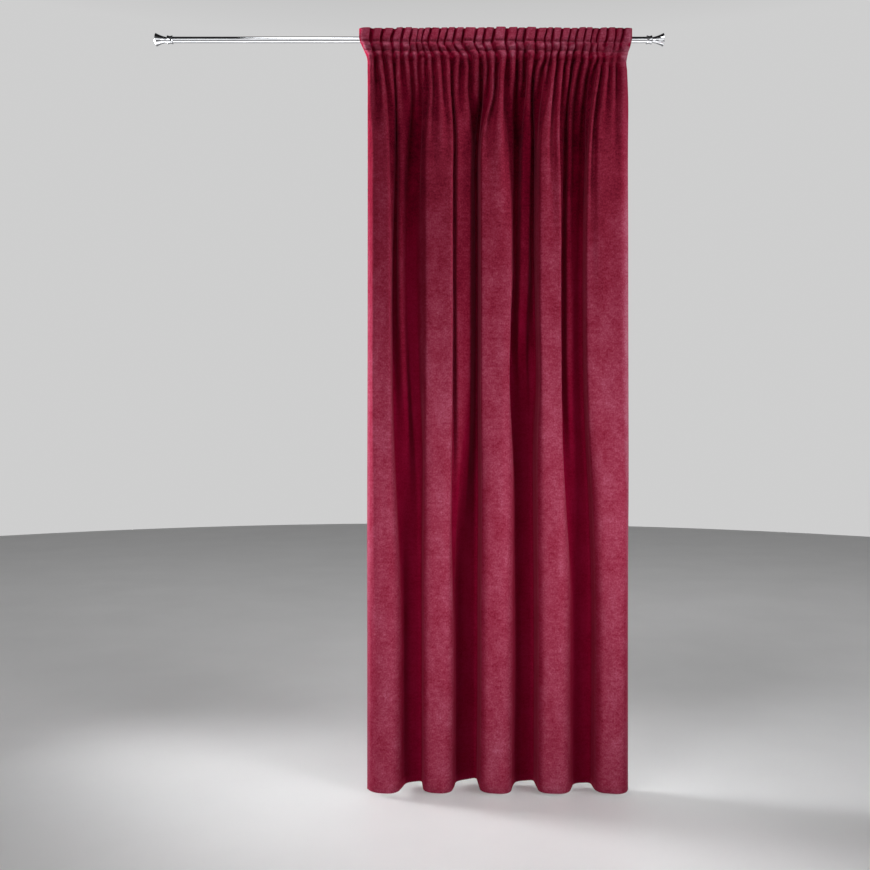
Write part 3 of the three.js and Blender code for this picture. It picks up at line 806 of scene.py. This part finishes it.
def turned(name, profile, place, side):
    """A piece turned about the rod's axis from a profile of (along, radius), pointing left or right."""
    bm = bmesh.new()
    points = [bm.verts.new((place + side * along, 0, radius)) for along, radius in profile]
    lines = [bm.edges.new(pair) for pair in zip(points, points[1:])]
    bmesh.ops.spin(bm, geom=points + lines, cent=(0, 0, 0), axis=(1, 0, 0), angle=2 * math.pi,
                   steps=TURNED_SIDES, use_merge=True)
    bmesh.ops.remove_doubles(bm, verts=bm.verts, dist=SAME_POINT)
    bmesh.ops.recalc_face_normals(bm, faces=bm.faces)
    piece = add_mesh(name, bm)
    piece.data.set_sharp_from_angle(angle=SHARP_ANGLE)
    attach(piece, "root")
    return piece


half_rod = ROD_LENGTH / 2
rod = turned("curtain_rod", [
    (-half_rod, 0), (-half_rod, ROD_RADIUS - ROD_END_ROUND), (-half_rod + ROD_END_ROUND, ROD_RADIUS),
    (half_rod - ROD_END_ROUND, ROD_RADIUS), (half_rod, ROD_RADIUS - ROD_END_ROUND), (half_rod, 0)], 0, 1)
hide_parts("rod")

CHROME_COLOURS = [(0.35, (0.50, 0.51, 0.53)), (0.65, (0.60, 0.61, 0.63))]
CHROME_SMUDGE = (60 * MM, 14 * MM, 14 * MM)
CHROME_POLISH = (30 * MM, 0.6 * MM, 0.6 * MM)
POLISH_BUMP = 0.05 * MM
CLEAN_AT, SMUDGED_AT = 0.3, 0.7
CLEAN_ROUGHNESS, SMUDGED_ROUGHNESS = 0.07, 0.16

chrome, shader = new_material("chrome_plate")
where = object_place_of(chrome)
smudge = noise_on(chrome, where, CHROME_SMUDGE, detail=4)
dulled = map_range(chrome, smudge, CLEAN_AT, SMUDGED_AT, CLEAN_ROUGHNESS, SMUDGED_ROUGHNESS)
link(chrome, ramp_on(chrome, smudge, CHROME_COLOURS), shader, "Base Color")
link(chrome, dulled, shader, "Roughness")
bump_on(chrome, shader, noise_on(chrome, where, CHROME_POLISH), strength=0.05, distance=POLISH_BUMP)
set_shader(shader, Metallic=1)
rod.data.materials.append(chrome)

# Finials: a turned chrome piece on each end of the rod, with a waisted collar that sleeves over the
# tube, a neck and a flare. The left one is the same as the right one, turned round.
SLEEVE_DEPTH = 16 * MM
SLEEVE_CLEARANCE = 0.3 * MM
COLLAR_RADIUS = 14 * MM
COLLAR_WAIST = 11.75 * MM
COLLAR_LENGTH = 18 * MM
NECK_RADIUS = 8 * MM
NECK_LENGTH = 3 * MM
FLARE_START = 9 * MM
FLARE_BEND = 12 * MM
FLARE_RADIUS = 21 * MM
FLARE_LENGTH = 35 * MM
FLARE_STEPS = 16
FINIAL_CHAMFER = 1 * MM

bore = ROD_RADIUS + SLEEVE_CLEARANCE
bore_end = SLEEVE_DEPTH + SLEEVE_CLEARANCE
flare_foot = COLLAR_LENGTH + NECK_LENGTH
flare_end = flare_foot + FLARE_LENGTH
flare_places = (flare_foot, flare_foot + FLARE_LENGTH / 2, flare_end - FINIAL_CHAMFER)
flare_radii = (FLARE_START, FLARE_BEND, FLARE_RADIUS)
flare = []
for t in np.linspace(0, 1, FLARE_STEPS + 1):
    weights = ((1 - t) ** 2, 2 * t * (1 - t), t ** 2)
    flare.append((np.dot(weights, flare_places), np.dot(weights, flare_radii)))
finial_profile = [
    (bore_end, 0), (bore_end, bore), (0, bore), (0, COLLAR_RADIUS - FINIAL_CHAMFER),
    (FINIAL_CHAMFER, COLLAR_RADIUS), (COLLAR_LENGTH / 2, COLLAR_WAIST),
    (COLLAR_LENGTH - FINIAL_CHAMFER, COLLAR_RADIUS), (COLLAR_LENGTH, COLLAR_RADIUS - FINIAL_CHAMFER),
    (COLLAR_LENGTH, NECK_RADIUS), (flare_foot, NECK_RADIUS), *flare,
    (flare_end, FLARE_RADIUS - FINIAL_CHAMFER), (flare_end, 0)]
for node, side in (("finial_left", -1), ("finial_right", 1)):
    finial = turned(f"chrome_{node}", finial_profile, side * (half_rod - SLEEVE_DEPTH), side)
    finial.data.materials.append(chrome)
    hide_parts(node)

# Floor, light and camera: a plain pale floor just under the hem, soft lights round the curtain and a
# camera straight in front of it. One light falls on the floor alone, and only the chrome mirrors the
# two cards.
FLOOR_Z = TOP_EDGE - DROP - 12 * MM
FLOOR_RADIUS = 9
FLOOR_SIDES = 96
FLOOR_CLOUD = (0.5, 0.5, 0.5)
FLOOR_COLOURS = [(0.3, (0.74, 0.74, 0.745)), (0.7, (0.78, 0.78, 0.785))]
FLOOR_CARD_Z = FLOOR_Z + 5 * MM

bm = bmesh.new()
bmesh.ops.create_circle(bm, cap_ends=True, segments=FLOOR_SIDES, radius=FLOOR_RADIUS,
                        matrix=Matrix.Translation((0, 0, FLOOR_Z)))
floor = add_mesh("studio_floor", bm, smooth=False)
pale_floor, shader = new_material("pale_floor")
cloud = noise_on(pale_floor, object_place_of(pale_floor), FLOOR_CLOUD, detail=3)
link(pale_floor, ramp_on(pale_floor, cloud, FLOOR_COLOURS), shader, "Base Color")
set_shader(shader, Roughness=0.45)
floor.data.materials.append(pale_floor)


def softbox(name, place, aim, size, power, spread=180, lights_cloth=True):
    """A rectangle of light: its place, the point that it faces, its size in metres, its power in watts
    and the spread of its beam in degrees."""
    lamp = bpy.data.lights.new(name, "AREA")
    lamp.shape = "RECTANGLE"
    lamp.size, lamp.size_y = size
    lamp.energy = power
    lamp.spread = math.radians(spread)
    holder = bpy.data.objects.new(name, lamp)
    holder.location = place
    holder.rotation_euler = (Vector(aim) - Vector(place)).to_track_quat("-Z", "Y").to_euler()
    holder.visible_camera = False
    holder.visible_diffuse = lights_cloth
    bpy.context.scene.collection.objects.link(holder)
    return holder


softbox("right_light", (2.1, -1.55, -1.5), (0.25, 0, -1.5), (0.9, 0.7), 7.4, spread=70)
softbox("left_light", (-1.0, -2.2, -1.8), (0.29, 0, -1.8), (0.9, 0.7), 5.2, spread=70)
softbox("front_light", (0.2, -3.1, -1.2), (0.29, 0, -1.2), (0.35, 2.0), 4.2, spread=70)
softbox("top_light", (-0.3, -0.8, 0.8), (0.29, 0, 0), (0.9, 0.4), 2.4, spread=60)
softbox("right_edge_light", (2.3, -0.45, -0.4), (0.29, 0, -0.3), (0.4, 0.7), 2.8, spread=50)
softbox("left_edge_light", (-2.2, 0.7, -0.85), (-0.1, 0, -0.85), (0.6, 2.5), 29, spread=60)
softbox("heading_left_light", (-1.5, 0.25, 0.0), (-0.165, 0, 0), (0.3, 0.25), 1.4, spread=30)
floor_light = softbox("floor_light", (0, 0.5, 2.5), (0, 0.5, 0), (9, 9), 130)
softbox("front_card", (0, -3.2, -0.4), (0, 0, -0.4), (7, 1.9), 60, lights_cloth=False)
softbox("floor_card", (0, 0, FLOOR_CARD_Z), (0, 0, 0), (7, 2.6), 100, lights_cloth=False)
lit_floor = bpy.data.collections.new("lit_floor")
lit_floor.objects.link(floor)
floor_light.light_linking.receiver_collection = lit_floor

# Light from all round: pale behind the curtain, dimmer in front of it and darker overhead. Each edge
# is where that change begins and ends, as parts of the way back and of the way up.
FRONT_STRENGTH = 0.16
BACKDROP_STRENGTH = 0.62
BACKDROP_EDGE = (0.1, 0.6)
OVERHEAD_SHARE = 0.1
OVERHEAD_EDGE = (0.4, 0.75)

world = bpy.data.worlds.new("studio")
bpy.context.scene.world = world
world.use_nodes = True
sky = world.node_tree.nodes["Background"]
sky.inputs["Color"].default_value = (1, 1, 1, 1)
direction = add_node(world, "ShaderNodeTexCoord").outputs["Generated"]
parts = add_node(world, "ShaderNodeSeparateXYZ", {"Vector": direction})
backdrop = map_range(world, parts.outputs["Y"], *BACKDROP_EDGE, FRONT_STRENGTH, BACKDROP_STRENGTH)
overhead = map_range(world, parts.outputs["Z"], *OVERHEAD_EDGE, 1, OVERHEAD_SHARE)
around = add_node(world, "ShaderNodeMath", {0: backdrop, 1: overhead}, operation="MULTIPLY")
link(world, around.outputs["Value"], sky, "Strength")
bpy.context.scene.view_settings.view_transform = "Standard"

SENSOR_WIDTH = 36
FOCAL_LENGTH = 37.47
CAMERA_PLACE = (0.084, -3.0, -1.309)

lens = bpy.data.cameras.new("camera")
lens.sensor_width = SENSOR_WIDTH
lens.lens = FOCAL_LENGTH
camera = bpy.data.objects.new("camera", lens)
camera.location = CAMERA_PLACE
camera.rotation_euler = (math.radians(90), 0, 0)
bpy.context.scene.collection.objects.link(camera)
bpy.context.scene.camera = camera
